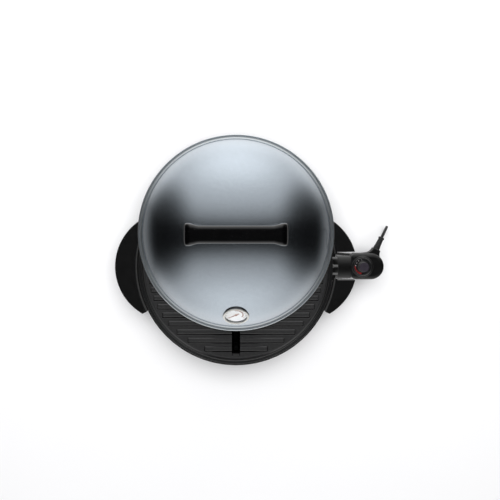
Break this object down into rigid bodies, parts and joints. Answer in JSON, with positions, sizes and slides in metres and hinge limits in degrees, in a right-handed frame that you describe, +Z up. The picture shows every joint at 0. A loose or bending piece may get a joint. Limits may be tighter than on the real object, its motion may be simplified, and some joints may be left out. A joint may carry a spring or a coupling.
{
  "type": "electric grill",
  "caption": "Round electric grill with a ribbed plate, a lift-off dome lid with a handle and gauge, side handles and a plug-in thermostat on a coiled lead.",
  "frame": {"origin": "on the table under the middle of the object's footprint, its lead left out", "axes": "+Z up, +X to the thermostat side, -Y to the front, where the drip tray slides out"},
  "size_m": [0.6765, 0.5436, 0.29],
  "materials": {
    "base_plastic": "satin moulded black, fine grain",
    "leg_plastic": "satin moulded black",
    "foot_rubber": "matt black",
    "fastener_steel": "zinc plated",
    "bracket_steel": "plain pressed steel",
    "reflector_metal": "aluminised, slightly dull",
    "element_sheath": "heat-darkened sheath",
    "plated_metal": "bright nickel plate",
    "nonstick": "dark grey non-stick coating with a fine speckle",
    "lid_paint": "glossy metallic blue-grey paint",
    "gloss_black": "polished black",
    "spacer_plastic": "matt black",
    "dial_face": "off-white with red-brown marks",
    "pointer_paint": "red-brown",
    "gauge_glass": "clear",
    "controller_plastic": "satin moulded black",
    "scale_plastic": "satin black with red heat marks",
    "knob_plastic": "semi-gloss dark grey",
    "contact_brass": "plain brass",
    "shaft_steel": "turned steel",
    "cord_rubber": "soft satin black"
  },
  "bodies": {
    "base": {"base_bowl": "base_plastic", "left_handle": "base_plastic", "right_handle": "base_plastic", "left_handle_screw_front": "fastener_steel", "left_handle_screw_rear": "fastener_steel", "right_handle_screw_front": "fastener_steel", "right_handle_screw_rear": "fastener_steel", "leg_front_left": "leg_plastic", "leg_front_right": "leg_plastic", "leg_rear_left": "leg_plastic", "leg_rear_right": "leg_plastic", "foot_front_left": "foot_rubber", "foot_front_right": "foot_rubber", "foot_rear_left": "foot_rubber", "foot_rear_right": "foot_rubber", "heat_reflector": "reflector_metal", "heating_element": "element_sheath", "element_clip_rear": "bracket_steel", "element_clip_front": "bracket_steel", "terminal_bracket": "bracket_steel", "terminal_pin_front": "plated_metal", "terminal_pin_rear": "plated_metal", "sensor_guide_tube": "plated_metal", "tray_rail_left": "bracket_steel", "tray_rail_right": "bracket_steel", "cord_coil": "cord_rubber", "cord_tie": "cord_rubber", "plug_body": "cord_rubber", "plug_blade_left": "contact_brass", "plug_blade_right": "contact_brass", "plug_ground_pin": "contact_brass"},
    "tray": {"drip_tray": "reflector_metal"},
    "plate": {"grill_plate": "nonstick"},
    "lid": {"lid_dome": "lid_paint", "lid_handle": "gloss_black", "lid_handle_spacer_left": "spacer_plastic", "lid_handle_spacer_right": "spacer_plastic", "lid_handle_screw_left": "fastener_steel", "lid_handle_screw_right": "fastener_steel", "gauge_housing": "gloss_black", "gauge_stem": "fastener_steel", "gauge_nut": "fastener_steel", "gauge_dial": "dial_face", "gauge_lens": "gauge_glass", "gauge_bezel": "plated_metal"},
    "pointer": {"gauge_pointer": "pointer_paint"},
    "controller": {"controller_upper_shell": "controller_plastic", "controller_lower_shell": "controller_plastic", "controller_shroud": "controller_plastic", "shell_screw": "fastener_steel", "contact_sleeve_front": "contact_brass", "contact_sleeve_rear": "contact_brass", "sensor_rod": "plated_metal", "thermostat_frame": "bracket_steel", "bimetal_blade": "contact_brass", "dial_scale_ring": "scale_plastic", "strain_relief": "cord_rubber", "power_cord": "cord_rubber"},
    "dial": {"control_knob": "knob_plastic", "knob_shaft": "shaft_steel"}
  },
  "joints": [
    {"name": "plate_lift", "type": "slide", "parent": "base", "child": "plate", "axis": [0, 0, 1], "range_m": [0, 0.08]},
    {"name": "lid_lift", "type": "slide", "parent": "plate", "child": "lid", "axis": [0, 0, 1], "range_m": [0, 0.2]},
    {"name": "gauge_turn", "type": "hinge", "parent": "lid", "child": "pointer", "pos_m": [-0.0318, -0.13362, 0.17689], "axis": [0, -0.7254, 0.6884], "range_deg": [-250, 0]},
    {"name": "controller_plug", "type": "slide", "parent": "base", "child": "controller", "axis": [1, 0, 0], "range_m": [0, 0.075]},
    {"name": "dial_turn", "type": "hinge", "parent": "controller", "child": "dial", "pos_m": [0.2682, -0.0398, 0.1], "axis": [0, 0, 1], "range_deg": [-270, 0]},
    {"name": "tray_slide", "type": "slide", "parent": "base", "child": "tray", "axis": [0, -1, 0], "range_m": [0, 0.2]}
  ]
}
